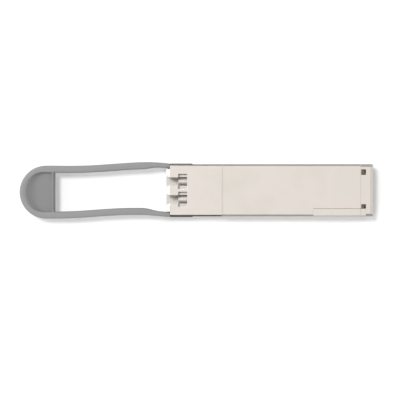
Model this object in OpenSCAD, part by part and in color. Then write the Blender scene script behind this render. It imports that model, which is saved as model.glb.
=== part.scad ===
// Pluggable optical transceiver module: duplex LC port, pull-tab latch release, card-edge plug.
// Millimetres. X runs from the optical nose (-X) to the electrical end (+X) and Z is up.
// The origin is the centre of the flat underside of the housing.

/* [Body] */
// Length of the metal body, from the nose to the electrical end
body_l = 72.4; // [71:0.1:76]
// Width of the part of the body that enters the cage
body_w = 18.35; // [18.2:0.05:18.8]
// Height of the part of the body that enters the cage
body_h = 8.5; // [8.4:0.05:9]
// Length of the nose, which stays outside the cage
nose_l = 19.6; // [19:0.1:20]
// Extra height of the nose above the part in the cage
nose_rise = 0.2; // [0.1:0.05:0.4]
// Width of the nose between the two latch arms
nose_w = 17.36; // [17.3:0.02:17.4]
// Width of the sloped top edge beside the plateau
edge_w = 0.67; // [0.4:0.01:0.9]

/* [Optical port] */
// Distance between the two fibre axes
port_pitch = 6.25; // [6.2:0.05:6.3]
// Width and height of each square port
port_w = 4.72; // [4.6:0.02:4.8]
// Height of the fibre axes above the underside
port_z = 3.95; // [3.9:0.01:4]
// Radius of the ceramic bore that takes a ferrule
ferrule_r = 0.626; // [0.62:0.001:0.65]
// Width of the keyway above each port
key_w = 2.75; // [2.5:0.05:3]
// Width of the window that takes the ears of a plug's latch
ear_w = 5.2; // [5:0.05:5.4]

/* [Latch] */
// How far the latch slider travels
slide_travel = 3; // [2:0.1:3]
// Thickness of the slider's steel sheet
sheet_t = 0.35; // [0.3:0.05:0.35]
// Height of each slider arm
arm_h = 3.4; // [3:0.1:3.4]

/* [Pull tab] */
// Distance from the nose to the tip of the tab
tab_l = 51.35; // [45:0.05:60]
// Radius of the round grip end
grip_r = 9.3; // [9:0.05:10]
// Width of the moulded loop along its arms
tab_t = 2.5; // [2.2:0.05:3]
// Sideways bow of the flexible loop near the body
bow_near = 0.6; // [0:0.05:0.8]
// Sideways offset of the grip end
bow_far = -0.65; // [-1:0.05:0]

/* [Circuit board] */
// Thickness of the board
board_t = 1; // [0.8:0.1:1]
// Height of the underside of the board
board_z = 2.25; // [2.2:0.05:2.3]
// Number of contacts on each face of the card edge
contact_count = 19; // [5:1:19]
// Distance between neighbouring contacts
contact_pitch = 0.8; // [0.7:0.05:0.8]

/* [Hidden] */
$fn = 48;
far = 50;           // reach of a cut that runs out of the part

// Colours of the materials
nickel = [0.87, 0.84, 0.80];
steel = [0.62, 0.62, 0.61];
spring_steel = [0.70, 0.70, 0.70];
grey_plastic = [0.50, 0.50, 0.50];
ceramic = [0.95, 0.95, 0.92];
gold = [0.85, 0.68, 0.30];
board_green = [0.10, 0.32, 0.18];
flex_amber = [0.75, 0.48, 0.15];
chip_black = [0.10, 0.10, 0.11];
pad_blue = [0.55, 0.65, 0.75];
gasket_black = [0.16, 0.16, 0.17];
label_white = [0.92, 0.92, 0.90];

// Stations along the body
nose_x = -body_l / 2;
tail_x = body_l / 2;
lip_l = 1.4;                        // sloped lip in front of the cover
cover_x = nose_x + lip_l;
step_x = nose_x + nose_l;           // where the nose steps down to the cage height
flange_x = nose_x + 5;              // front of the ledge under the latch arms
tail_lip_x = tail_x - 4.4;          // where the lower rear lip of the cover starts
bevel_l = 0.9;                      // length of the shallow slope on the rear edge
bevel_drop = 0.12;
housing_end_x = tail_x - 0.3;
floor_end_x = tail_x - 8.7;         // the floor stops here, to let the host socket in

// Heights
floor_z = 1.1;                      // top of the housing's floor
seam_z = 6.9;                       // joint between the housing and the cover
half_w = body_w / 2;
half_nose = nose_w / 2;
tail_drop = 0.1;                    // step down at the rear lip
board_top = board_z + board_t;

// Cavity
bay_w = 6.4;                        // half width of the optics bay
bay_end_x = step_x + 7.6;           // where the wider board bay starts
board_bay_w = 8.1;                  // half width of the board bay
shelf_w = 0.8;                      // width of the shelves that carry the board

// Optical port
port_half = port_w / 2;
roof_z = port_z + port_half;        // inside top of each port
shoulder_x = nose_x + 4.27;         // face that the ears of a plug's latch lock behind
window_end_x = nose_x + 7.36;
port_end_x = nose_x + 8.6;          // back wall of the ports
receptacle_end_x = nose_x + 10.7;
lip_half = 7.45;                    // half width of the lip between the latch arms
mouth_w = 3.7;                      // width of each port's opening at the front of the lip
window_w = 3;                       // width of each window between its ears
lip_low_z = 7.5;                    // where the slope of the lip starts
lip_top_z = 8.6;
port_sides = [-1, 1];               // receive port, transmit port

// Optical subassemblies, measured from the nose
barrel_r = 1.45;
barrel_x = nose_x + 4.3;
flange_r = 2.3;
gasket_t = 0.5;
osa_flange_x = receptacle_end_x + gasket_t;
osa_flange_t = 0.8;
neck_r = 1.7;
osa_x = osa_flange_x + 1.4;
osa_l = 10;
osa_w = 5.8;
osa_z = 1.4;
osa_top = 6.1;
osa_wall = 0.6;
osa_front_wall = 1.2;
lid_t = 0.25;
sleeve_x = [barrel_x + 0.3, nose_x + 7.6];  // a plug's ferrule enters this far
stub_end_x = osa_flange_x + 0.4;
sleeve_r = 0.8;
light_path_r = 0.4;
lens_r = 0.95;
fit = 0.01;                         // radial slack of a pressed or glued piece
flex_t = 0.15;
flex_y = [0.5, 3.3];                // inner and outer edge of a flex, from the centre line

// Latch
slide_gap = 0.1;                    // running clearance of the slider
arm_in = half_nose + slide_gap;
arm_out = arm_in + sheet_t;
arm_z = 2.6;
arm_top = arm_z + arm_h;
arm_end_x = step_x + 6.2;
tang_x = nose_x - 2;                // front end of the steel inside the tab
tang_inset = 0.7;
catch_x = [step_x + 0.6, step_x + 4.2];     // window that the cage's latch springs into
catch_inset = 0.6;
kicker_l = 1.2;
kicker_d = 0.5;
bridge_x = [nose_x + 0.6, nose_x + 4.8];
bridge_z = [0.1, 0.6];
bridge_roof = 0.7;                  // underside of the housing above the bridge
spring_x = [nose_x + 4.7, nose_x + 13.3];
spring_y = 7.65;
spring_z = arm_z + arm_h / 2;
spring_r = 0.62;                    // mean radius of the coils
spring_wire_r = 0.13;
spring_turns = 8;
channel_half = 0.95;
channel_in = 6.75;
lug_half = 0.75;
skin_x = nose_x + 9.3;              // rear end of the moulding outside the arms
skin_out = arm_out + 0.29;

// Pull tab
tab_z = [2.9, 7.4];
tab_front_x = cover_x - 0.1;
grip_x = nose_x - tab_l + grip_r;   // centre of the round end
grip_inner_r = 7;
grip_inner_x = grip_x - 0.25;
waist = 0.3;                        // how much the loop narrows at its middle
thin_t = 1.75;                      // width of the arms beside the nose
thin_x = [nose_x - 8.3, nose_x - 2.3];
bow_x = [nose_x + 1.2, nose_x - 8.2, nose_x - 35.8];
grip_edge_x = grip_x + 3.15;        // free edge of the grip plate
grip_plate_z = [4.7, 6.2];
grip_ridge_l = 1;
grip_ridge_h = 0.8;
tab_steps = 24;

// Fasteners and closures
screw_places = [[step_x + 5.2, 4.95], [tail_x - 12.2, 4.6]];
screw_r = 0.78;
screw_head_r = 1.45;
screw_head_h = 0.7;
screw_sink = 0.05;                  // how far a head lies below the underside
screw_top = 5.2;
column_r = 1.4;
board_hole_r = 1.7;
rail_x = [tail_x - 20.9, tail_x - 2.45];
rail_y = 6.38;                      // seam between the cover and the housing's rail
rail_gap = 0.06;
rail_end_gap = 0.01;
rail_z = 5.9;
rail_edge = 0.35;
hook_x = [tail_x - 4.1, tail_x - 2.45];
left_hook_y = [5.4, 7.3];
right_hook_y = [-6.6, -4.9];
hook_ledge = 0.65;
hook_ledge_z = 7.2;
hook_t = 0.35;
hook_gap = 0.08;
hook_top = 7.5;
hook_nose_t = 0.15;
hook_web_z = [5.9, 6.8];
gasket_y = [8.4, 8.9];
gasket_z = 6.55;

// Board and what it carries
board_x = [nose_x + 27.6, tail_x - 1];
board_half = 7.95;
contact_w = 0.54;
contact_t = 0.05;
contact_x = [tail_x - 3.8, tail_x - 1.3];
chip_t = 1;
chip_x = [2, 8];
chip_y = [0.6, 6.6];
pad_t = 0.5;
pedestal_x = [1.5, 8.5];
pedestal_half = 6.9;
label_x = [2, 21];
label_half = 7.4;
label_recess = 0.15;
label_t = 0.1;

// ---- Helpers ----

// A box given by its limits on each axis
module block(x, y, z)
    translate([x[0], y[0], z[0]])
        cube([x[1] - x[0], y[1] - y[0], z[1] - z[0]]);

// A box that is symmetric about the XZ plane
module middle_block(x, half, z)
    block(x, [-half, half], z);

// A round bar along X
module rod(x, y, z, r)
    translate([x[0], y, z])
        rotate([0, 90, 0])
            cylinder(h = x[1] - x[0], r = r);

// A bar along X with the given YZ outline
module bar(x, outline)
    translate([x[0], 0, 0])
        rotate([90, 0, 90])
            linear_extrude(x[1] - x[0])
                polygon(outline);

// A bar along Y with the given XZ outline
module cross_bar(y, outline)
    translate([0, y[1], 0])
        rotate([90, 0, 0])
            linear_extrude(y[1] - y[0])
                polygon(outline);

// The child, and its mirror image across the XZ plane
module both_sides() {
    children();
    mirror([0, 1, 0]) children();
}

// The child at each of the four cover screws
module each_screw()
    for (place = screw_places, side = [-1, 1])
        translate([place[0], side * place[1], 0])
            children();

// YZ outline of a flat-topped bar whose upper corners are sloped off
function topped(half, low, top, edge_y, edge_z) = [
    [-half, low], [half, low], [half, top - edge_z], [half - edge_y, top],
    [-half + edge_y, top], [-half, top - edge_z]
];

// A step from 0 to 1 with smooth ends
function ease(t) = let (c = min(1, max(0, t))) c * c * (3 - 2 * c);

// ---- Shells ----

// Keyway above both ports, which opens into a window of width w
module latch_windows(w)
    for (side = port_sides)
        translate([0, side * port_pitch / 2, 0]) {
            middle_block([cover_x - 1, shoulder_x + 0.01], key_w / 2, [port_z, far]);
            middle_block([shoulder_x, window_end_x], w / 2, [port_z, far]);
        }

// Way under the top wall for the ears of a plug's latch, from the front to the window
module ear_ways(low)
    for (side = port_sides)
        translate([0, side * port_pitch / 2, 0])
            middle_block([nose_x - 1, shoulder_x + 0.1], ear_w / 2, [low, lip_low_z]);

// Snap hole with a ledge that a hook grips
module snap_hole(y) {
    block(hook_x, y, [hook_ledge_z, far]);
    block([hook_x[0] + hook_ledge, hook_x[1]], y, [seam_z - 1, far]);
}

module top_cover() {
    nose_top = body_h + nose_rise;
    tail_top = body_h - tail_drop;
    color(nickel)
        difference() {
            union() {
                bar([cover_x, step_x], topped(half_nose, seam_z, nose_top, 0.12, 0.12));
                bar([step_x, tail_lip_x], topped(half_w, seam_z, body_h, edge_w, edge_w));
                bar([tail_lip_x, tail_x], topped(half_w, seam_z, tail_top, 0.95, edge_w));
                middle_block(pedestal_x, pedestal_half, [board_top + chip_t + pad_t, seam_z + 0.1]);
                each_screw()
                    translate([0, 0, board_z])
                        cylinder(h = seam_z + 0.1 - board_z, r = column_r);
            }
            latch_windows(ear_w);
            ear_ways(seam_z - 1);
            // slope on the rear edge
            cross_bar([-far, far], [[tail_x + bevel_l, tail_top - 2 * bevel_drop],
                [tail_x + bevel_l, far], [tail_x - bevel_l, far], [tail_x - bevel_l, tail_top]]);
            // notch for the housing's rail
            block(rail_x, [-far, -rail_y], [seam_z - 1, far]);
            snap_hole(left_hook_y);
            snap_hole(right_hook_y);
            each_screw()
                translate([0, 0, board_z - 1])
                    cylinder(h = screw_top + 1.4 - board_z, r = screw_r + 0.02);
        }
}

// Hook that stands up into a snap hole, on a web from the side wall
module snap_hook(y, wall_y) {
    inner = [min(abs(y[0]), abs(y[1])) + hook_gap, max(abs(y[0]), abs(y[1])) - hook_gap];
    side = sign(y[0]);
    post = [hook_x[0] + hook_ledge + hook_gap, hook_x[0] + hook_ledge + hook_gap + hook_t];
    low = hook_ledge_z + hook_gap;
    ys = side > 0 ? inner : [-inner[1], -inner[0]];
    web = side > 0 ? [inner[0], wall_y] : [-wall_y, -inner[0]];
    block(post, web, hook_web_z);
    block(post, ys, [hook_web_z[1] - 0.1, hook_top]);
    block([hook_x[0] + 0.2, post[0] + 0.01], ys, [low, low + hook_nose_t]);
}

// Rail that fills the notch of the cover
module cover_rail(x, top)
    bar(x, [[-half_w, rail_z], [-rail_y - rail_gap, rail_z], [-rail_y - rail_gap, top],
        [-half_w + rail_edge, top], [-half_w, top - rail_edge]]);

module housing_walls() {
    corner = 0.3;
    middle_block([cover_x, step_x + 0.1], half_nose, [bridge_roof, seam_z]);
    middle_block([flange_x, step_x + 0.1], half_nose, [0, seam_z]);
    middle_block([flange_x, step_x + 0.1], half_w, [0, arm_z - 0.4]);
    bar([step_x, housing_end_x], [[-half_w, seam_z], [-half_w, corner], [-half_w + corner, 0],
        [half_w - corner, 0], [half_w, corner], [half_w, seam_z]]);
}

module latch_cuts()
    both_sides() {
        // spring channel, slot of the arm, and the well that the cage's latch springs into
        block([spring_x[0], spring_x[1] + 0.7], [channel_in, far],
            [spring_z - channel_half, spring_z + channel_half]);
        block([step_x - 1, arm_end_x + 0.5], [half_nose, far],
            [arm_z - slide_gap, arm_top + slide_gap]);
        block([catch_x[1] - slide_travel - 1, catch_x[1] + kicker_l + 0.2], [half_nose - 0.7, far],
            [arm_z + 0.3, arm_top - 0.3]);
    }

module bottom_housing()
    color(nickel)
        difference() {
            union() {
                difference() {
                    housing_walls();
                    middle_block([cover_x - 1, bay_end_x + 0.1], bay_w, [floor_z, far]);
                    middle_block([bay_end_x, far], board_bay_w, [floor_z, far]);
                    middle_block([floor_end_x, far], board_bay_w, [-1, floor_z + 1]);
                    latch_cuts();
                    both_sides()
                        block([bay_end_x + 1, rail_x[0] - 0.5], gasket_y, [gasket_z, far]);
                }
                both_sides()
                    block([board_x[0], floor_end_x], [board_bay_w - shelf_w, board_bay_w + 0.1],
                        [floor_z - 0.1, board_z]);
                each_screw()
                    cylinder(h = board_z, r = column_r + 0.1);
                cover_rail([rail_x[0] + rail_end_gap, tail_lip_x + 0.01], body_h);
                cover_rail([tail_lip_x, rail_x[1] - rail_end_gap], body_h - tail_drop);
                snap_hook(left_hook_y, board_bay_w + 0.1);
                snap_hook(right_hook_y, board_bay_w + 0.1);
            }
            middle_block(label_x, label_half, [-1, label_recess]);
            each_screw() {
                translate([0, 0, -1]) cylinder(h = far, r = screw_r + 0.1);
                translate([0, 0, screw_sink])
                    cylinder(h = screw_head_h + 0.03, r1 = screw_head_r + 0.04, r2 = screw_r + 0.04);
                translate([0, 0, -1]) cylinder(h = 1 + screw_sink + 0.001, r = screw_head_r + 0.04);
            }
        }

module lc_receptacle() {
    rib_w = 0.5;
    rib_h = 0.3;
    color(nickel)
        difference() {
            union() {
                cross_bar([-lip_half, lip_half], [[nose_x, bridge_roof + 0.05],
                    [cover_x - 0.05, bridge_roof + 0.05], [cover_x - 0.05, lip_top_z],
                    [nose_x, lip_low_z]]);
                middle_block([cover_x - 0.1, receptacle_end_x], bay_w - 0.1, [floor_z, seam_z]);
            }
            for (side = port_sides)
                translate([0, side * port_pitch / 2, 0]) {
                    difference() {
                        middle_block([nose_x - 1, port_end_x], port_half, [port_z - port_half, roof_z]);
                        // guide ribs on the port's floor
                        for (y = [-1, 1] * (port_half - 0.9))
                            block([cover_x, port_end_x], [y - rib_w / 2, y + rib_w / 2],
                                [0, port_z - port_half + rib_h]);
                    }
                    // opening in the lip, which narrows to the keyway
                    translate([0, 0, port_z])
                        linear_extrude(far)
                            polygon([[nose_x, -mouth_w / 2], [nose_x - 1, -mouth_w / 2],
                                [nose_x - 1, mouth_w / 2], [nose_x, mouth_w / 2],
                                [cover_x, key_w / 2], [cover_x, -key_w / 2]]);
                    rod([port_end_x - 1, receptacle_end_x + 1], 0, port_z, barrel_r + 0.03);
                }
            latch_windows(window_w);
            ear_ways(seam_z + 0.05);
        }
}

// ---- Latch ----

module slider_arm() {
    difference() {
        union() {
            block([cover_x - 0.1, arm_end_x], [arm_in, arm_out], [arm_z, arm_top]);
            block([tang_x, cover_x], [arm_in, arm_out], [arm_z + tang_inset, arm_top - tang_inset]);
        }
        block(catch_x, [0, far], [arm_z + catch_inset, arm_top - catch_inset]);
    }
    // ramp behind the window, which lifts the cage's latch when the slider is pulled
    translate([0, 0, arm_z + catch_inset])
        linear_extrude(arm_h - 2 * catch_inset)
            polygon([[catch_x[1], arm_in - kicker_d], [catch_x[1] + kicker_l, arm_in - kicker_d],
                [catch_x[1] + kicker_l, arm_in + 0.1], [catch_x[1] + 0.01, arm_in + 0.1]]);
    // lug that presses the return spring
    block([spring_x[1], spring_x[1] + sheet_t], [spring_y - lug_half, arm_in + 0.1],
        [spring_z - lug_half, spring_z + lug_half]);
    // web down to the bridge under the nose
    block(bridge_x, [arm_in, arm_out], [bridge_z[0], arm_z + tang_inset + 0.1]);
}

module latch_slider()
    color(steel) {
        both_sides() slider_arm();
        middle_block(bridge_x, arm_out, bridge_z);
    }

// Sideways bow of the loop's centre line at x
function bow(x) =
    bow_near * sin(90 * min(1, max(0, (bow_x[0] - x) / (bow_x[0] - bow_x[1]))))
    + (bow_far - bow_near) * ease((bow_x[1] - x) / (bow_x[1] - bow_x[2]));

// Half width of the loop, and the width of its arms, at x
function loop_half(x) =
    let (u = (tab_front_x - x) / (tab_front_x - grip_x))
    skin_out - (skin_out - grip_r) * ease(u) - waist * pow(sin(180 * u), 2);
function arm_t(x) =
    tab_t + (thin_t - tab_t) * ease((x - thin_x[0]) / (thin_x[1] - thin_x[0]));

function arm_xs(end) = [for (i = [0 : tab_steps]) tab_front_x + (end - tab_front_x) * i / tab_steps];
function outer_side(side) = [for (x = arm_xs(grip_x)) [x, bow(x) + side * loop_half(x)]];
function inner_side(side, end) =
    [for (x = arm_xs(end)) [x, bow(x) + side * (loop_half(x) - arm_t(x))]];
function reversed(list) = [for (i = [len(list) - 1 : -1 : 0]) list[i]];

// Points of a half circle that bulges towards -X, from +Y to -Y
function half_round(x, r) =
    [for (a = [96 : 6 : 264]) [x + r * cos(a), bow_far + r * sin(a)]];

module loop_outline()
    polygon(concat(
        outer_side(1), half_round(grip_x, grip_r), reversed(outer_side(-1)),
        inner_side(-1, grip_edge_x), reversed(half_round(grip_inner_x, grip_inner_r)),
        reversed(inner_side(1, grip_edge_x))
    ));

// Plate across the round end, which a finger pulls
module grip_outline(end)
    intersection() {
        translate([grip_inner_x, bow_far]) circle(r = grip_inner_r + 0.6);
        translate([grip_x - far, bow_far - 6.9]) square([end - grip_x + far, 13.8]);
    }

module pull_tab()
    color(grey_plastic)
        difference() {
            union() {
                translate([0, 0, tab_z[0]]) linear_extrude(tab_z[1] - tab_z[0]) loop_outline();
                translate([0, 0, grip_plate_z[0]])
                    linear_extrude(grip_plate_z[1] - grip_plate_z[0]) grip_outline(grip_edge_x);
                // low ridge along the free edge of the grip plate
                translate([0, 0, grip_plate_z[0]])
                    linear_extrude(grip_plate_z[1] - grip_plate_z[0] + grip_ridge_h)
                        difference() {
                            grip_outline(grip_edge_x);
                            grip_outline(grip_edge_x - grip_ridge_l);
                        }
                both_sides()
                    block([tab_front_x - 0.1, skin_x], [arm_out, skin_out], [tab_z[0], arm_top]);
            }
            both_sides()
                block([tang_x, cover_x], [arm_in, arm_out], [arm_z + tang_inset, arm_top - tang_inset]);
            // room for the steel webs beside the nose
            both_sides()
                block([bridge_x[0] - 0.01, cover_x], [arm_in, arm_out], [0, arm_z + tang_inset + 0.1]);
        }

// Point, and the two directions across it, of a helix along X at angle a
function helix_point(a, pitch) = [pitch * a / 360, spring_r * cos(a), spring_r * sin(a)];
function helix_ring(a, pitch, sides) =
    let (
        c = helix_point(a, pitch),
        out = [0, cos(a), sin(a)],
        run = 2 * PI * spring_r,
        tangent = [pitch, -run * sin(a), run * cos(a)] / norm([pitch, run]),
        across = cross(tangent, out)
    )
    [for (i = [0 : sides - 1])
        let (b = 360 * i / sides) c + spring_wire_r * (cos(b) * out + sin(b) * across)];

module return_spring(side) {
    sides = 8;
    per_turn = 12;
    rings = spring_turns * per_turn;
    pitch = (spring_x[1] - spring_x[0] - 2 * spring_wire_r - 0.1) / spring_turns;
    points = [for (k = [0 : rings]) each helix_ring(360 * k / per_turn, pitch, sides)];
    walls = [for (k = [0 : rings - 1], i = [0 : sides - 1])
        let (a = k * sides + i, b = k * sides + (i + 1) % sides)
        [a, b, b + sides, a + sides]];
    ends = [[for (i = [sides - 1 : -1 : 0]) i], [for (i = [0 : sides - 1]) rings * sides + i]];
    color(spring_steel)
        translate([spring_x[0] + spring_wire_r + 0.05, side * spring_y, spring_z])
            polyhedron(points = points, faces = concat(walls, ends));
}

module left_return_spring() return_spring(1);
module right_return_spring() return_spring(-1);

// ---- Optics ----

module osa_clamp()
    color(steel)
        difference() {
            middle_block([osa_flange_x + osa_flange_t, osa_x - 0.1], bay_w - 0.1, [floor_z, seam_z]);
            for (side = port_sides)
                hull()
                    for (z = [port_z, 0])
                        rod([nose_x, 0], side * port_pitch / 2, z, neck_r + 0.03);
        }

module barrel_gasket()
    color(gasket_black)
        difference() {
            middle_block([receptacle_end_x, osa_flange_x], bay_w - 0.5, [floor_z + 0.3, seam_z - 0.3]);
            for (side = port_sides)
                rod([nose_x, 0], side * port_pitch / 2, port_z, barrel_r + 0.03);
        }

module osa_barrel(side)
    color(steel)
        difference() {
            union() {
                rod([barrel_x, osa_flange_x + 0.1], side * port_pitch / 2, port_z, barrel_r);
                rod([osa_flange_x, osa_flange_x + osa_flange_t], side * port_pitch / 2, port_z, flange_r);
                rod([osa_flange_x + 0.1, osa_x], side * port_pitch / 2, port_z, neck_r);
            }
            rod([barrel_x - 1, 0], side * port_pitch / 2, port_z, light_path_r);
            rod([barrel_x - 1, stub_end_x], side * port_pitch / 2, port_z, sleeve_r + fit);
        }

module osa_sleeve(side)
    color(ceramic)
        difference() {
            rod(sleeve_x, side * port_pitch / 2, port_z, sleeve_r);
            rod([barrel_x, 0], side * port_pitch / 2, port_z, ferrule_r);
        }

module osa_stub(side)
    color(ceramic)
        rod([sleeve_x[1], stub_end_x], side * port_pitch / 2, port_z, sleeve_r);

module osa_body(side)
    color(gold)
        translate([0, side * port_pitch / 2, 0])
            difference() {
                middle_block([osa_x, osa_x + osa_l], osa_w / 2, [osa_z, osa_top]);
                middle_block([osa_x + osa_front_wall, osa_x + osa_l - osa_wall],
                    osa_w / 2 - osa_wall, [osa_z + osa_wall, far]);
                rod([osa_x - 1, osa_x + osa_front_wall + 1], 0, port_z, lens_r + fit);
            }

module osa_lid(side)
    color(steel)
        translate([0, side * port_pitch / 2, 0])
            middle_block([osa_x, osa_x + osa_l], osa_w / 2, [osa_top, osa_top + lid_t]);

module osa_lens(side)
    color([0.8, 0.9, 0.95])
        rod([osa_x + 0.02, osa_x + osa_front_wall], side * port_pitch / 2, port_z, lens_r);

module submount(side, length)
    color(ceramic)
        translate([osa_x + 3.2, side * port_pitch / 2, 0])
            middle_block([0, length], 0.9, [osa_z + osa_wall, port_z - 0.2]);

module osa_flex(side) {
    start = [osa_x + osa_l, port_z + 0.6];
    land_x = board_x[0] + 0.3;
    steps = 12;
    low = board_top;
    bend = [for (i = [0 : steps])
        [start[0] + (land_x - start[0]) * i / steps, start[1] + (low - start[1]) * ease(i / steps)]];
    path = concat(bend, [[land_x + 1.9, low]]);
    y = side > 0 ? flex_y : [-flex_y[1], -flex_y[0]];
    color(flex_amber)
        cross_bar(y, concat(path, reversed([for (p = path) [p[0], p[1] + flex_t]])));
}

module tosa_barrel() osa_barrel(1);
module tosa_sleeve() osa_sleeve(1);
module tosa_stub() osa_stub(1);
module tosa_body() osa_body(1);
module tosa_lid() osa_lid(1);
module tosa_lens() osa_lens(1);
module laser_submount() submount(1, 2.4);
module tosa_flex() osa_flex(1);
module rosa_barrel() osa_barrel(-1);
module rosa_sleeve() osa_sleeve(-1);
module rosa_stub() osa_stub(-1);
module rosa_body() osa_body(-1);
module rosa_lid() osa_lid(-1);
module rosa_lens() osa_lens(-1);
module photodiode_submount() submount(-1, 1.6);
module rosa_flex() osa_flex(-1);

// ---- Circuit board ----

module circuit_board() {
    corner = 0.5;
    color(board_green)
        difference() {
            translate([0, 0, board_z])
                linear_extrude(board_t)
                    polygon([[board_x[0], -board_half], [board_x[1] - corner, -board_half],
                        [board_x[1], -board_half + corner], [board_x[1], board_half - corner],
                        [board_x[1] - corner, board_half], [board_x[0], board_half]]);
            translate([screw_places[1][0], 0, 0])
                for (side = [-1, 1])
                    translate([0, side * screw_places[1][1], 0])
                        cylinder(h = far, r = board_hole_r);
        }
}

module contact_fingers()
    color(gold)
        for (i = [0 : contact_count - 1], z = [board_z - contact_t, board_top]) {
            y = (i - (contact_count - 1) / 2) * contact_pitch;
            // every third contact is a ground, which reaches nearer the edge
            end = contact_x[1] - (i % 3 == 0 ? 0 : 0.4);
            block([contact_x[0], end], [y - contact_w / 2, y + contact_w / 2], [z, z + contact_t]);
        }

module transmit_retimer()
    color(chip_black)
        block(chip_x, chip_y, [board_top, board_top + chip_t]);

module receive_retimer()
    color(chip_black)
        block(chip_x, [-chip_y[1], -chip_y[0]], [board_top, board_top + chip_t]);

module microcontroller()
    color(chip_black)
        block([12, 16.4], [1.2, 5.6], [board_top, board_top + 0.85]);

module power_inductors()
    color([0.25, 0.25, 0.27])
        for (i = [0 : 2])
            block([12 + 2.9 * i, 14 + 2.9 * i], [-4.4, -2.4], [board_top, board_top + 1.2]);

// Coupling capacitors of the eight lanes, and a row beside the power inductors
module capacitors() {
    size = [1, 0.5, 0.5];
    color([0.62, 0.52, 0.42])
        translate([0, 0, board_top]) {
            for (i = [-7.5 : 7.5])
                translate([contact_x[0] - 3, i * 0.86 - size[1] / 2, 0]) cube(size);
            for (i = [0 : 4])
                translate([12 + 1.8 * i, -6.4, 0]) cube(size);
        }
}

// ---- Pads, gaskets, fasteners and label ----

module optics_thermal_pad()
    color(pad_blue)
        middle_block([osa_x + 0.6, osa_x + osa_l - 0.6], 5.9, [osa_top + lid_t, seam_z]);

module retimer_thermal_pad()
    color(pad_blue)
        middle_block(pedestal_x, pedestal_half, [board_top + chip_t, board_top + chip_t + pad_t]);

module emi_gasket()
    color(gasket_black)
        block([bay_end_x + 1.05, rail_x[0] - 0.55], [gasket_y[0] + 0.02, gasket_y[1] - 0.02],
            [gasket_z, seam_z]);

module left_emi_gasket() emi_gasket();
module right_emi_gasket() mirror([0, 1, 0]) emi_gasket();

module cover_screw() {
    recess = [1.5, 0.35];
    difference() {
        union() {
            cylinder(h = screw_head_h, r1 = screw_head_r, r2 = screw_r);
            cylinder(h = screw_top - screw_sink, r = screw_r);
        }
        for (turn = [0, 90])
            rotate(turn)
                translate([-recess[0] / 2, -recess[1] / 2, -0.1])
                    cube([recess[0], recess[1], 0.45]);
    }
}

module cover_screws()
    color(steel)
        each_screw()
            translate([0, 0, screw_sink]) cover_screw();

module blank_label()
    color(label_white)
        middle_block([label_x[0] + 0.1, label_x[1] - 0.1], label_half - 0.1,
            [label_recess - label_t, label_recess]);

top_cover();
bottom_housing();
lc_receptacle();
latch_slider();
pull_tab();
left_return_spring();
right_return_spring();
osa_clamp();
barrel_gasket();
tosa_barrel();
tosa_sleeve();
tosa_stub();
tosa_body();
tosa_lid();
tosa_lens();
laser_submount();
rosa_barrel();
rosa_sleeve();
rosa_stub();
rosa_body();
rosa_lid();
rosa_lens();
photodiode_submount();
tosa_flex();
rosa_flex();
circuit_board();
contact_fingers();
transmit_retimer();
receive_retimer();
microcontroller();
power_inductors();
capacitors();
optics_thermal_pad();
retimer_thermal_pad();
left_emi_gasket();
right_emi_gasket();
cover_screws();
blank_label();
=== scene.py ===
"""Looks of a pluggable optical transceiver module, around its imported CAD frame.

Metres, in the CAD's own frame: +X is the electrical end, -X the optical nose and the pull tab,
and +Z is up. Places come from the boxes of the CAD nodes.
"""

import math

import bmesh
import bpy
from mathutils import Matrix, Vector


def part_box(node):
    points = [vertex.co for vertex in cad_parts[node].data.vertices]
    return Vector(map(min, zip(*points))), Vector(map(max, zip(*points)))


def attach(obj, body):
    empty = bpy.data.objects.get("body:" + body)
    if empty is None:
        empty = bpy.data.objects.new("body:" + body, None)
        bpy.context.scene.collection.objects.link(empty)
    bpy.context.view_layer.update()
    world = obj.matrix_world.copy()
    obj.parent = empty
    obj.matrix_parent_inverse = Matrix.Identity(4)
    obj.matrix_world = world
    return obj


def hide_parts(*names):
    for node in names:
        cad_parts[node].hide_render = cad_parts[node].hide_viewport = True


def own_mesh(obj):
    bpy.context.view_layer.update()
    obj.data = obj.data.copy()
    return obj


MM = 0.001

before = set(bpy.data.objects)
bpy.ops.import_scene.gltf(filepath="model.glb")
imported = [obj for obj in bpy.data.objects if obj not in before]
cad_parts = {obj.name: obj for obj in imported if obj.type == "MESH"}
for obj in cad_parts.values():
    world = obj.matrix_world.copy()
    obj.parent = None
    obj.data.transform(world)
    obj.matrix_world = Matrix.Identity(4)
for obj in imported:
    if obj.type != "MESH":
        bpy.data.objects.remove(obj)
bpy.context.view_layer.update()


# ---- Camera, floor and light -------------------------------------------------

VIEW_WIDTH = 139.9 * MM                 # what the picture takes in, from side to side
VIEW_SHIFT = (1.35 * MM, -3.4 * MM)     # from the module's middle to the picture's
SENSOR = 36.0                           # sensor width and focal length, in millimetres
LENS = 200.0
CLIP_END = 10.0                         # in metres, as is the floor's half width
FLOOR_HALF = 3.0
FLOOR_WHITE = (0.92, 0.92, 0.92, 1)
FLOOR_GLOW = 0.18                       # lifts the floor to white outside the module's shadow

KEY_ENERGY = 1.6
KEY_ANGLE = 13.0                        # degrees across, which sets how soft the shadow is
KEY_AIM = (0.263, -0.243, -1)
# Brightness of the dome round the module, from its -X side at 0 to its +X side at 1
DOME_LEVELS = [
    (0.0, 2.2), (0.07, 1.7), (0.2, 0.85), (0.38, 0.33), (0.5, 0.26),
    (0.57, 0.30), (0.64, 0.75), (0.8, 0.7), (1.0, 0.55),
]


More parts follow.
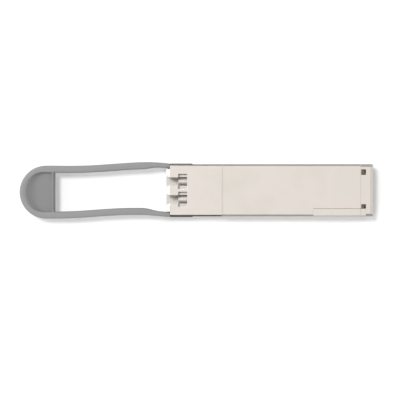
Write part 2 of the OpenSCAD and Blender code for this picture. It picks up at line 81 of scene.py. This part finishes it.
def make_camera():
    """A long lens that looks straight down, with the module to the right and above the middle."""
    low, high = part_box("bottom_housing")
    centre = (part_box("top_cover")[1].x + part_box("pull_tab")[0].x) / 2
    data = bpy.data.cameras.new("camera")
    data.sensor_width = SENSOR
    data.lens = LENS
    data.clip_end = CLIP_END
    camera = bpy.data.objects.new("camera", data)
    height = VIEW_WIDTH * LENS / SENSOR + high.z
    camera.location = (centre + VIEW_SHIFT[0], (low.y + high.y) / 2 + VIEW_SHIFT[1], height)
    bpy.context.scene.collection.objects.link(camera)
    bpy.context.scene.camera = camera


def make_floor():
    """A plain white sheet at the height of the module's underside."""
    half = FLOOR_HALF
    mesh = bpy.data.meshes.new("floor")
    corners = [(-half, -half, 0), (half, -half, 0), (half, half, 0), (-half, half, 0)]
    mesh.from_pydata(corners, [], [(0, 1, 2, 3)])
    floor = bpy.data.objects.new("floor", mesh)
    paint = bpy.data.materials.new("floor_white")
    paint.use_nodes = True
    shader = paint.node_tree.nodes["Principled BSDF"]
    shader.inputs["Base Color"].default_value = FLOOR_WHITE
    shader.inputs["Emission Color"].default_value = (1, 1, 1, 1)
    shader.inputs["Emission Strength"].default_value = FLOOR_GLOW
    shader.inputs["Roughness"].default_value = 1.0
    shader.inputs["Specular IOR Level"].default_value = 0.0
    mesh.materials.append(paint)
    bpy.context.scene.collection.objects.link(floor)


def ramp_node(nodes, stops):
    """A colour ramp node through stops, which are (position, (r, g, b))."""
    node = nodes.new("ShaderNodeValToRGB")
    elements = node.color_ramp.elements
    while len(elements) < len(stops):
        elements.new(0.5)
    for element, (position, rgb) in zip(elements, stops):
        element.position = position
        element.color = (*rgb, 1)
    return node


def make_light():
    """A soft key from the upper left, and a studio dome with a large bright panel on the left."""
    key = bpy.data.lights.new("key", "SUN")
    key.energy = KEY_ENERGY
    key.angle = math.radians(KEY_ANGLE)
    lamp = bpy.data.objects.new("key", key)
    lamp.rotation_euler = Vector(KEY_AIM).to_track_quat("-Z", "Y").to_euler()
    bpy.context.scene.collection.objects.link(lamp)

    world = bpy.data.worlds.new("studio")
    bpy.context.scene.world = world
    world.use_nodes = True
    nodes, links = world.node_tree.nodes, world.node_tree.links
    coords = nodes.new("ShaderNodeTexCoord")
    axes = nodes.new("ShaderNodeSeparateXYZ")
    side = nodes.new("ShaderNodeMapRange")
    side.inputs["From Min"].default_value = -1
    ramp = ramp_node(nodes, [(position, (level,) * 3) for position, level in DOME_LEVELS])
    links.new(coords.outputs["Generated"], axes.inputs[0])
    links.new(axes.outputs["X"], side.inputs["Value"])
    links.new(side.outputs["Result"], ramp.inputs[0])
    links.new(ramp.outputs[0], nodes["Background"].inputs["Color"])
    nodes["Background"].inputs["Strength"].default_value = 1.0
    bpy.context.scene.view_settings.view_transform = "Standard"


# ---- Materials ---------------------------------------------------------------


class Surface:
    """A procedural material: a principled shader, and noise in the object's own coordinates."""

    def __init__(self, name, roughness, metallic=0.0, **sockets):
        self.material = bpy.data.materials.new(name)
        self.material.use_nodes = True
        self.nodes = self.material.node_tree.nodes
        self.links = self.material.node_tree.links
        self.shader = self.nodes["Principled BSDF"]
        self.set("Metallic", metallic)
        self.set("Roughness", roughness)
        for socket, value in sockets.items():
            self.set(socket.replace("_", " "), value)

    def set(self, socket, value):
        self.shader.inputs[socket].default_value = value

    def noise(self, scale, detail, stretch=(1, 1, 1)):
        """Noise with scale features to the metre, drawn out along an axis where stretch is small."""
        coords = self.nodes.new("ShaderNodeTexCoord")
        mapping = self.nodes.new("ShaderNodeMapping")
        mapping.inputs["Scale"].default_value = stretch
        texture = self.nodes.new("ShaderNodeTexNoise")
        texture.inputs["Scale"].default_value = scale
        texture.inputs["Detail"].default_value = detail
        self.links.new(coords.outputs["Object"], mapping.inputs["Vector"])
        self.links.new(mapping.outputs["Vector"], texture.inputs["Vector"])
        return texture.outputs["Fac"]

    def z_of(self, output):
        """Z of the object's own position or normal."""
        coords = self.nodes.new("ShaderNodeTexCoord")
        axes = self.nodes.new("ShaderNodeSeparateXYZ")
        self.links.new(coords.outputs[output], axes.inputs[0])
        return axes.outputs["Z"]

    def along_z(self, output, levels):
        """A share of 0 to 1 by the Z of the object's own position or normal, from (z, share) levels."""
        low, high = levels[0][0], levels[-1][0]
        spread = self.nodes.new("ShaderNodeMapRange")
        spread.inputs["From Min"].default_value = low
        spread.inputs["From Max"].default_value = high
        self.links.new(self.z_of(output), spread.inputs["Value"])
        return self.ramp([((z - low) / (high - low), (share,) * 3) for z, share in levels],
                         spread.outputs["Result"])

    def ramp(self, stops, fac):
        """The colours of stops, which are (position, (r, g, b)), at the value of fac."""
        node = ramp_node(self.nodes, stops)
        self.links.new(fac, node.inputs[0])
        return node.outputs[0]

    def colour(self, stops, fac, shaded_stops=None, share=None):
        """Base colour from a ramp, and from other, darker stops where the share is low, which are
        painted shade.
        """
        output = self.ramp(stops, fac)
        if share:
            mix = self.nodes.new("ShaderNodeMix")
            mix.data_type = "RGBA"
            # a mix node's colours go in at sockets 6 and 7 and come out at socket 2
            self.links.new(share, mix.inputs["Factor"])
            self.links.new(self.ramp(shaded_stops, fac), mix.inputs[6])
            self.links.new(output, mix.inputs[7])
            output = mix.outputs[2]
        self.links.new(output, self.shader.inputs["Base Color"])

    def vary_roughness(self, low, high, fac):
        """Roughness from low to high, as fac goes from 0 to 1."""
        spread = self.nodes.new("ShaderNodeMapRange")
        spread.inputs["To Min"].default_value = low
        spread.inputs["To Max"].default_value = high
        self.links.new(fac, spread.inputs["Value"])
        self.links.new(spread.outputs["Result"], self.shader.inputs["Roughness"])

    def bump(self, fac, depth, strength, under=None):
        """Relief of the given depth in metres, on top of an earlier bump's normals if given."""
        bump = self.nodes.new("ShaderNodeBump")
        bump.inputs["Distance"].default_value = depth
        bump.inputs["Strength"].default_value = strength
        self.links.new(fac, bump.inputs["Height"])
        if under:
            self.links.new(under, bump.inputs["Normal"])
        self.links.new(bump.outputs["Normal"], self.shader.inputs["Normal"])
        return bump.outputs["Normal"]


def plated_shell(name, shade_level, output, levels):
    """Satin nickel plate on die-cast zinc: warm and pale, and painted darker, as shade, where the levels
    are low.
    """
    surface = Surface(name, 0.66, metallic=1.0)
    cloud = surface.noise(70, detail=3)
    tones = [(0.35, (0.65, 0.62, 0.57)), (0.5, (0.685, 0.64, 0.60)), (0.65, (0.67, 0.635, 0.595))]
    # the same tones made darker by the shade level: painted shade
    shaded_tones = [(position, tuple(shade_level * c for c in rgb)) for position, rgb in tones]
    surface.colour(tones, cloud, shaded_tones, surface.along_z(output, levels))
    grain = surface.noise(2600, detail=4)
    surface.vary_roughness(0.60, 0.74, grain)
    fine = surface.bump(grain, 0.004 * MM, 0.5)
    surface.bump(surface.noise(420, detail=2), 0.006 * MM, 0.35, under=fine)
    return surface.material


def receptacle_cast():
    """The optical port's casting: rougher plate, painted brighter above 7.7 mm as a highlight on its
    front lip, and painted greyer below 7.2 mm as shade inside the ports.
    """
    surface = Surface("receptacle_cast", 0.6, metallic=1.0)
    # the light tones high up are a painted highlight on the lip, the dark ones low down are painted
    # shade
    surface.colour([(0.35, (0.80, 0.79, 0.76)), (0.65, (0.84, 0.83, 0.80))],
                   surface.noise(160, detail=3),
                   [(0.35, (0.60, 0.58, 0.54)), (0.65, (0.63, 0.61, 0.57))],
                   surface.along_z("Object", [(7.2 * MM, 0), (7.7 * MM, 1)]))
    grain = surface.noise(2600, detail=4)
    surface.vary_roughness(0.54, 0.68, grain)
    surface.bump(grain, 0.004 * MM, 0.5)
    return surface.material


def edge_wear_and_highlight():
    """The same plate where handling has burnished an edge: smoother, and lighter in tone, which is a
    painted highlight.
    """
    surface = Surface("nickel_edge", 0.26, metallic=1.0)
    surface.colour([(0.4, (0.84, 0.80, 0.74)), (0.6, (0.90, 0.86, 0.80))], surface.noise(900, detail=3))
    surface.bump(surface.noise(2600, detail=3), 0.002 * MM, 0.4)
    return surface.material


def rolled_steel(name, tone, roughness=0.34):
    """Stamped sheet with rolling marks along X."""
    surface = Surface(name, roughness, metallic=1.0)
    streaks = surface.noise(5200, detail=4, stretch=(0.04, 1, 1))
    dark = tuple(0.86 * c for c in tone)
    surface.colour([(0.35, dark), (0.65, tone)], streaks)
    surface.vary_roughness(roughness - 0.05, roughness + 0.09, streaks)
    surface.bump(streaks, 0.002 * MM, 0.6)
    return surface.material


def stamped_slider():
    """Stamped stainless sheet, painted dark on its faces that point up, its sheared edges, as shade."""
    surface = Surface("slider_sheet", 0.38, metallic=1.0)
    # colour by which way a face points: the faces that point up are painted dark as shade
    surface.colour([(0.45, (0.46, 0.445, 0.42)), (0.75, (0.14, 0.137, 0.13))],
                   surface.z_of("Normal"))
    streaks = surface.noise(5200, detail=4, stretch=(0.04, 1, 1))
    surface.vary_roughness(0.33, 0.48, streaks)
    surface.bump(streaks, 0.002 * MM, 0.6)
    return surface.material


def turned_steel():
    """Turned stainless steel, with the lathe's fine rings across X."""
    surface = Surface("turned_steel", 0.72, metallic=1.0)
    rings = surface.noise(9000, detail=3, stretch=(1, 0.05, 0.05))
    surface.colour([(0.35, (0.78, 0.745, 0.70)), (0.65, (0.86, 0.825, 0.78))], rings)
    surface.bump(rings, 0.002 * MM, 0.5)
    return surface.material


def moulded_grip():
    """Matt grey moulded plastic with a fine eroded texture and faint flow marks."""
    surface = Surface("grey_moulding", 0.58, Specular_IOR_Level=0.42)
    flow = surface.noise(55, detail=3, stretch=(0.5, 1, 1))
    # the grey is painted darker below 7.35 mm, most at 6.2 mm and below, on the recessed finger plate
    # and the loop's lower faces: painted shade
    surface.colour([(0.3, (0.267, 0.267, 0.269)), (0.7, (0.288, 0.288, 0.290))], flow,
                   [(0.3, (0.222, 0.222, 0.224)), (0.7, (0.240, 0.240, 0.242))],
                   surface.along_z("Object", [(6.2 * MM, 0), (7.35 * MM, 1)]))
    speckle = surface.noise(4200, detail=5)
    surface.vary_roughness(0.50, 0.66, speckle)
    fine = surface.bump(speckle, 0.012 * MM, 0.55)
    surface.bump(surface.noise(900, detail=2), 0.02 * MM, 0.25, under=fine)
    return surface.material


def matt(name, tone, spread=0.12, grain=3000, roughness=0.6, depth=0.004):
    """A plain matt solid with fine grain and a slight change of tone."""
    surface = Surface(name, roughness)
    fine = surface.noise(grain, detail=3)
    low = tuple(c * (1 - spread) for c in tone)
    high = tuple(min(1.0, c * (1 + spread)) for c in tone)
    surface.colour([(0.35, low), (0.65, high)], fine)
    surface.vary_roughness(roughness - 0.07, roughness + 0.07, fine)
    surface.bump(fine, depth * MM, 0.5)
    return surface.material


def gold_plate():
    """Satin gold over nickel, a little uneven in tone."""
    surface = Surface("gold_plate", 0.28, metallic=1.0)
    cloud = surface.noise(700, detail=3)
    surface.colour([(0.35, (0.80, 0.57, 0.20)), (0.65, (0.88, 0.66, 0.27))], cloud)
    surface.vary_roughness(0.22, 0.36, cloud)
    surface.bump(surface.noise(4000, detail=3), 0.002 * MM, 0.4)
    return surface.material


def zirconia():
    """Polished white ceramic."""
    surface = Surface("zirconia", 0.18, Coat_Weight=0.4, Coat_Roughness=0.08)
    surface.colour([(0.4, (0.84, 0.83, 0.78)), (0.6, (0.88, 0.87, 0.83))], surface.noise(1500, detail=2))
    surface.bump(surface.noise(6000, detail=2), 0.001 * MM, 0.3)
    return surface.material


def lens_glass():
    """Clear glass of a high index."""
    surface = Surface("lens_glass", 0.05, Transmission_Weight=0.9, IOR=1.6)
    surface.colour([(0.4, (0.86, 0.92, 0.95)), (0.6, (0.90, 0.95, 0.97))], surface.noise(1200, detail=2))
    return surface.material


def solder_mask():
    """Green solder mask over the weave and the traces of the board."""
    surface = Surface("solder_mask", 0.3, Coat_Weight=0.3, Coat_Roughness=0.2)
    traces = surface.noise(1500, detail=1, stretch=(0.12, 1, 1))
    surface.colour([(0.46, (0.012, 0.085, 0.035)), (0.5, (0.02, 0.14, 0.06)),
                    (0.56, (0.012, 0.085, 0.035))], traces)
    surface.vary_roughness(0.24, 0.38, surface.noise(2500, detail=3))
    surface.bump(traces, 0.01 * MM, 0.5)
    return surface.material


def amber_film():
    """Polyimide film over the copper lines of a flex circuit."""
    surface = Surface("amber_film", 0.32, Coat_Weight=0.3)
    lines = surface.noise(2600, detail=1, stretch=(0.05, 1, 0.3))
    surface.colour([(0.45, (0.42, 0.20, 0.04)), (0.55, (0.60, 0.32, 0.08))], lines)
    surface.bump(lines, 0.006 * MM, 0.5)
    return surface.material


# ---- Meshes ------------------------------------------------------------------


SAME_POINT = 1e-7      # vertices closer than this are one


def piece(name, bm, body, node, material, smooth_angle=30):
    """A new object from bm that rides on body and stands for a CAD node."""
    bmesh.ops.remove_doubles(bm, verts=bm.verts, dist=SAME_POINT)
    bmesh.ops.recalc_face_normals(bm, faces=bm.faces)
    mesh = bpy.data.meshes.new(name)
    bm.to_mesh(mesh)
    bm.free()
    mesh.materials.append(material)
    obj = bpy.data.objects.new(name, mesh)
    bpy.context.scene.collection.objects.link(obj)
    mesh.shade_smooth()
    mesh.set_sharp_from_angle(angle=math.radians(smooth_angle))
    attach(obj, body)
    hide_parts(node)
    return obj


def loft(bm, rings, closed=False):
    """Quads between rings of equal length, capped at both ends unless the rings close."""
    rows = [[bm.verts.new(p) for p in ring] for ring in rings]
    count = len(rows[0])
    pairs = list(zip(rows, rows[1:])) + ([(rows[-1], rows[0])] if closed else [])
    for a, b in pairs:
        for i in range(count):
            j = (i + 1) % count
            bm.faces.new((a[i], a[j], b[j], b[i]))
    if not closed:
        bm.faces.new(list(reversed(rows[0])))
        bm.faces.new(rows[-1])


def ease(t):
    """A step from 0 to 1 with smooth ends."""
    t = min(1.0, max(0.0, t))
    return t * t * (3 - 2 * t)


# The pull tab is a loop: two arms along X, a round end, and a finger plate across that end. These
# are the driving sizes of the CAD's loop. Those that say "from the nose" are measured towards -X.
TAB = {
    "arm_t": 2.5 * MM,              # width of the arms
    "thin_t": 1.75 * MM,            # their width beside the nose
    "thin_from": 8.3 * MM,          # between these they narrow to it, from the nose
    "thin_to": 2.3 * MM,
    "waist": 0.3 * MM,              # how much narrower the loop is halfway along
    "bow_near": 0.6 * MM,           # sideways bow of the loop's centre line at bow_1
    "bow_far": -0.65 * MM,          # the same from bow_2 on
    "bow_0": -1.2 * MM,             # where the bow begins, turns and ends, from the nose
    "bow_1": 8.2 * MM,
    "bow_2": 35.8 * MM,
    "grip_r": 9.3 * MM,             # outer and inner radius of the round end
    "inner_r": 7.0 * MM,
    "inner_shift": 0.25 * MM,       # from the centre of the outer radius to that of the inner
    "edge": 3.15 * MM,              # from the centre of the round end to the plate's free edge
    "plate_low": 1.8 * MM,          # underside and top of the plate, above the tab's underside
    "plate_high": 3.0 * MM,
    "front_gap": 1.3 * MM,          # how far the full arms reach past the nose, towards +X
    "skin_t": 0.29 * MM,            # thickness of the skins over the slider's strips
    "skin_drop": 1.4 * MM,          # how much lower the skins are than the arms
}
ARM_ROUND = 0.6 * MM                # radius of the loop's edges
SKIN_ROUND = 0.12 * MM
tab_low, tab_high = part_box("pull_tab")
nose_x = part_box("lc_receptacle")[0].x
grip_x = tab_low.x + TAB["grip_r"]
tab_front_x = nose_x + TAB["front_gap"]
skin_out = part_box("latch_slider")[1].y + TAB["skin_t"]


def bow(x):
    """Sideways bow of the loop's centre line at x."""
    t = (nose_x - TAB["bow_0"] - x) / (TAB["bow_1"] - TAB["bow_0"])
    near = math.sin(math.pi / 2 * min(1.0, max(0.0, t)))
    far = ease((nose_x - TAB["bow_1"] - x) / (TAB["bow_2"] - TAB["bow_1"]))
    return TAB["bow_near"] * near + (TAB["bow_far"] - TAB["bow_near"]) * far


def loop_half(x):
    """Half of the loop's outer width at x."""
    u = min(1.0, max(0.0, (tab_front_x - x) / (tab_front_x - grip_x)))
    return skin_out - (skin_out - TAB["grip_r"]) * ease(u) - TAB["waist"] * math.sin(math.pi * u) ** 2


def arm_t(x):
    """Width of one arm of the loop at x."""
    run = TAB["thin_from"] - TAB["thin_to"]
    return TAB["arm_t"] + (TAB["thin_t"] - TAB["arm_t"]) * ease((x - nose_x + TAB["thin_from"]) / run)


def rounded_section(inner, outer, low, high, radius):
    """A rounded rectangle from the inner to the outer plan point, and from low to high."""
    steps = 4
    inner, outer = Vector(inner), Vector(outer)
    across = (outer - inner).normalized()
    width = (outer - inner).length
    r = min(radius, 0.42 * width)      # leaves a flat between two corners
    corners = [(width - r, high - r, 0), (r, high - r, 90),
               (r, low + r, 180), (width - r, low + r, 270)]
    ring = []
    for u, z, start in corners:
        for i in range(steps + 1):
            a = math.radians(start + 90 * i / steps)
            p = inner + across * (u + r * math.cos(a))
            ring.append((p.x, p.y, z + r * math.sin(a)))
    return ring


def arm_rings(side):
    """Sections along one arm, from the skin over the slider's strip to the round end."""
    skin_x, low, high = tab_high.x, tab_low.z, tab_high.z
    taper = 0.15 * MM       # length of the rounded rear end of the skin
    step = 0.02 * MM        # length of the step from the skin to the full arm
    skin_inset, arm_inset = 0.12 * MM, 0.1 * MM
    rings = []
    for x in (skin_x, skin_x - taper, tab_front_x + step):
        inset = skin_inset if x == skin_x else 0
        rings.append(rounded_section((x, side * (skin_out - TAB["skin_t"])),
                                     (x, side * (skin_out - inset)),
                                     low + inset, high - TAB["skin_drop"] - inset, SKIN_ROUND))
    steps = 56
    for i in range(steps + 1):
        x = tab_front_x + (grip_x - tab_front_x) * i / steps
        half, thick = loop_half(x), arm_t(x)
        inset = arm_inset if i == 0 else 0
        rings.append(rounded_section((x, bow(x) + side * (half - thick + inset)),
                                     (x, bow(x) + side * (half - inset)),
                                     low + inset, high - inset, ARM_ROUND))
    return rings


def loop_rings():
    """Sections along the loop: up the +Y arm, round the grip end and back along the -Y arm."""
    outer_centre = Vector((grip_x, TAB["bow_far"]))
    inner_centre = outer_centre - Vector((TAB["inner_shift"], 0))
    end = []
    steps = 40
    for i in range(1, steps):
        a = math.pi / 2 + math.pi * i / steps
        direction = Vector((math.cos(a), math.sin(a)))
        outer = outer_centre + direction * TAB["grip_r"]
        inner = inner_centre + direction * TAB["inner_r"]
        # the arms are a little wider than the end, so the section eases from one to the other
        side = 1 if direction.y > 0 else -1
        arm_inner = outer_centre + Vector((0, side * (TAB["grip_r"] - TAB["arm_t"])))
        share = max(0.0, 1 - 2 * abs(direction.x))
        inner += (arm_inner - inner) * share * ease(share)
        end.append(rounded_section(inner, outer, tab_low.z, tab_high.z, ARM_ROUND))
    return arm_rings(1) + end + list(reversed(arm_rings(-1)))


def dish_rise(offset):
    """Height of the dish above the plate's flat, at an offset from the centre of the inner radius.

    It is a slope against the loop's wall, and it is widest and highest at the tip.
    """
    lift = 1.45 * MM                            # at the wall, at the tip
    side_width, tip_gain = 0.7 * MM, 3.2 * MM   # width at the sides, and what the tip adds to it
    if offset.x >= 0:
        wall, share = TAB["inner_r"] - abs(offset.y), 0.0
    else:
        wall, share = TAB["inner_r"] - offset.length, -offset.x / offset.length
    width = side_width + tip_gain * share ** 1.5
    t = min(1.0, max(0.0, 1 - wall / width))
    return lift * (0.15 * t + 0.85 * t ** 2.6) * (0.25 + 0.75 * share)


def grip_rows():
    """XZ sections of the finger plate, from one side of the round end to the other."""
    low, flat = tab_low.z + TAB["plate_low"], tab_low.z + TAB["plate_high"]
    edge_x = grip_x + TAB["edge"]
    centre = Vector((grip_x - TAB["inner_shift"], TAB["bow_far"]))
    reach = TAB["inner_r"] + 0.35 * MM      # the plate's rim lies inside the loop's wall
    widest = 0.999                          # share of the reach, so that no row has no length
    ridge_h, ridge_x = 1.1 * MM, 0.75 * MM  # height and slope of the ridge along the free edge
    round_x = 0.95 * MM                     # the rounded fall from the ridge to the free edge
    face_h = 0.45 * MM                      # height of the upright face under that fall
    chamfer_x, chamfer_z, foot_x = 0.1 * MM, 0.12 * MM, 0.35 * MM
    crest_x = edge_x - round_x
    row_count, top_count, fall_count = 56, 60, 8

    rows = []
    for j in range(row_count + 1):
        across = widest * reach * math.sin(math.pi / 2 * (2 * j / row_count - 1))
        y = centre.y + across
        left = centre.x - math.sqrt(reach ** 2 - across ** 2)
        top = []
        for i in range(top_count + 1):
            x = left + (crest_x - left) * i / top_count
            ridge = ridge_h * ease((x - crest_x + ridge_x) / ridge_x)
            top.append((x, flat + dish_rise(Vector((x, y)) - centre) + ridge))
        last = top[-1][1]
        drop = last - low - face_h
        for i in range(1, fall_count + 1):
            a = math.pi / 2 * i / fall_count
            top.append((crest_x + round_x * math.sin(a), last - drop * (1 - math.cos(a))))
        top.append((edge_x - chamfer_x, low + chamfer_z))
        rows.append([(x, y, z) for x, z in top] + [(edge_x - foot_x, y, low), (left, y, low)])
    return rows


def make_pull_tab(material):
    """The loop and the finger plate, joined into one skin."""
    loop = bmesh.new()
    loft(loop, loop_rings())
    tab = piece("pull_tab_moulding", loop, "slider", "pull_tab", material,
                smooth_angle=50)
    plate = bmesh.new()
    loft(plate, grip_rows())
    bmesh.ops.recalc_face_normals(plate, faces=plate.faces)
    mesh = bpy.data.meshes.new("grip")
    plate.to_mesh(mesh)
    plate.free()
    cutter = bpy.data.objects.new("grip", mesh)
    bpy.context.scene.collection.objects.link(cutter)
    union = tab.modifiers.new("union", "BOOLEAN")
    union.operation = "UNION"
    union.solver = "EXACT"
    union.object = cutter
    bpy.context.view_layer.update()
    evaluated = tab.evaluated_get(bpy.context.evaluated_depsgraph_get())
    joined = bpy.data.meshes.new_from_object(evaluated)
    tab.modifiers.clear()
    tab.data = joined
    joined.shade_smooth()
    joined.set_sharp_from_angle(angle=math.radians(40))
    bpy.data.objects.remove(cutter)


def make_spring(node, material):
    """A coil along X between the ends of its CAD node, which the latch squeezes."""
    low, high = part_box(node)
    wire_r = 0.13 * MM
    radius = (high.z - low.z) / 2 - wire_r
    turns, per_turn, sides = 8, 28, 12
    flatten = 0.045         # draws the end turns together, so that they lie nearly flat
    centre = (low + high) / 2
    length = high.x - low.x - 2 * wire_r
    rings = []
    total = turns * per_turn
    for k in range(total + 1):
        a = 2 * math.pi * k / per_turn
        t = k / total
        x = low.x + wire_r + length * (t - flatten * math.sin(2 * math.pi * t))
        out = Vector((0, math.cos(a), math.sin(a)))
        point = Vector((x, centre.y, centre.z)) + out * radius
        tangent = Vector((length / total * per_turn / (2 * math.pi), -radius * math.sin(a),
                          radius * math.cos(a))).normalized()
        across = tangent.cross(out)
        ring = []
        for i in range(sides):
            b = 2 * math.pi * i / sides
            ring.append(point + wire_r * (math.cos(b) * out + math.sin(b) * across))
        rings.append(ring)
    bm = bmesh.new()
    loft(bm, rings)
    spring = piece(node + "_coil", bm, "housing", node, material)
    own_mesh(spring)


WELD_GAP = 0.001 * MM      # joins the doubled vertices of the CAD's flat faces
FLAT_ANGLE = 0.5           # degrees within which neighbouring faces count as one flat


def finish_node(node, materials, bevel=0.0, angle=35, clamp=False):
    """Gives a CAD node its materials, the last of them on its small rounded edges."""
    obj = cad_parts[node]
    obj.data.materials.clear()
    for material in materials:
        obj.data.materials.append(material)
    for polygon in obj.data.polygons:
        polygon.material_index = 0
    weld = obj.modifiers.new("weld", "WELD")
    weld.merge_threshold = WELD_GAP
    flat = obj.modifiers.new("flat", "DECIMATE")
    flat.decimate_type = "DISSOLVE"
    flat.angle_limit = math.radians(FLAT_ANGLE)
    if bevel:
        edge = obj.modifiers.new("edge", "BEVEL")
        edge.width = bevel
        edge.segments = 2
        edge.limit_method = "ANGLE"
        edge.angle_limit = math.radians(angle)
        edge.use_clamp_overlap = clamp
        edge.harden_normals = False
        edge.material = len(materials) - 1
    normals = obj.modifiers.new("normals", "WEIGHTED_NORMAL")
    normals.keep_sharp = False
    obj.data.shade_smooth()


# ---- The module --------------------------------------------------------------

make_camera()
make_floor()
make_light()

# painted shade: the cover is darker on faces that tilt away from up, its sides and edge chamfers
plate = plated_shell("cover_plate", 0.7, "Normal", [(0.8, 0), (0.95, 1)])
# painted shade: the housing is darkest on faces 7.1 to 7.8 mm high, in its snap holes, and partly darker
# below 6.92 mm and up to 8.2 mm
lower_plate = plated_shell("housing_plate", 0.3, "Object",
                           [(6.92 * MM, 0.6), (7.1 * MM, 0), (7.8 * MM, 0), (8.2 * MM, 1)])
edge, receptacle = edge_wear_and_highlight(), receptacle_cast()
sheet = stamped_slider()
clamp = rolled_steel("clamp_sheet", (0.50, 0.485, 0.46))
turned = turned_steel()
lid = rolled_steel("lid_sheet", (0.66, 0.65, 0.62), 0.3)
screw = rolled_steel("screw_steel", (0.58, 0.57, 0.55), 0.3)
ceramic, glass, gold = zirconia(), lens_glass(), gold_plate()
film, mask = amber_film(), solder_mask()
chip = matt("chip_epoxy", (0.035, 0.035, 0.038), roughness=0.5)
powder = matt("inductor_powder", (0.11, 0.11, 0.12), spread=0.3, grain=6000)
chip_ceramic = matt("capacitor_ceramic", (0.40, 0.28, 0.18))
gap_filler = matt("gap_filler", (0.36, 0.46, 0.56), grain=5000, roughness=0.75)
elastomer = matt("conductive_elastomer", (0.07, 0.07, 0.075), spread=0.25, roughness=0.8)
label = matt("label_film", (0.80, 0.80, 0.78), spread=0.02, grain=1800, roughness=0.45, depth=0.002)
wire = rolled_steel("spring_wire", (0.60, 0.60, 0.59), 0.24)

finish_node("top_cover", [plate, edge], 0.06 * MM, angle=6, clamp=True)
finish_node("bottom_housing", [lower_plate], 0.05 * MM)
finish_node("lc_receptacle", [receptacle], 0.05 * MM, clamp=True)
finish_node("latch_slider", [sheet], 0.06 * MM)
for optics in ("tosa", "rosa"):
    finish_node(optics + "_barrel", [turned], 0.08 * MM)
    finish_node(optics + "_sleeve", [ceramic], 0.05 * MM)
    finish_node(optics + "_stub", [ceramic], 0.05 * MM)
    finish_node(optics + "_body", [gold], 0.08 * MM)
    finish_node(optics + "_lid", [lid], 0.05 * MM)
    finish_node(optics + "_lens", [glass])
    finish_node(optics + "_flex", [film])
for node in ("laser_submount", "photodiode_submount"):
    finish_node(node, [ceramic], 0.04 * MM)
finish_node("osa_clamp", [clamp], 0.05 * MM)
finish_node("circuit_board", [mask], 0.04 * MM)
finish_node("contact_fingers", [gold])
for node in ("transmit_retimer", "receive_retimer", "microcontroller"):
    finish_node(node, [chip], 0.05 * MM)
finish_node("power_inductors", [powder], 0.15 * MM)
finish_node("capacitors", [chip_ceramic], 0.05 * MM)
for node in ("optics_thermal_pad", "retimer_thermal_pad"):
    finish_node(node, [gap_filler], 0.06 * MM)
for node in ("barrel_gasket", "left_emi_gasket", "right_emi_gasket"):
    finish_node(node, [elastomer], 0.04 * MM)
finish_node("cover_screws", [screw], 0.04 * MM)
finish_node("blank_label", [label])

make_pull_tab(moulded_grip())
for node in ("left_return_spring", "right_return_spring"):
    make_spring(node, wire)
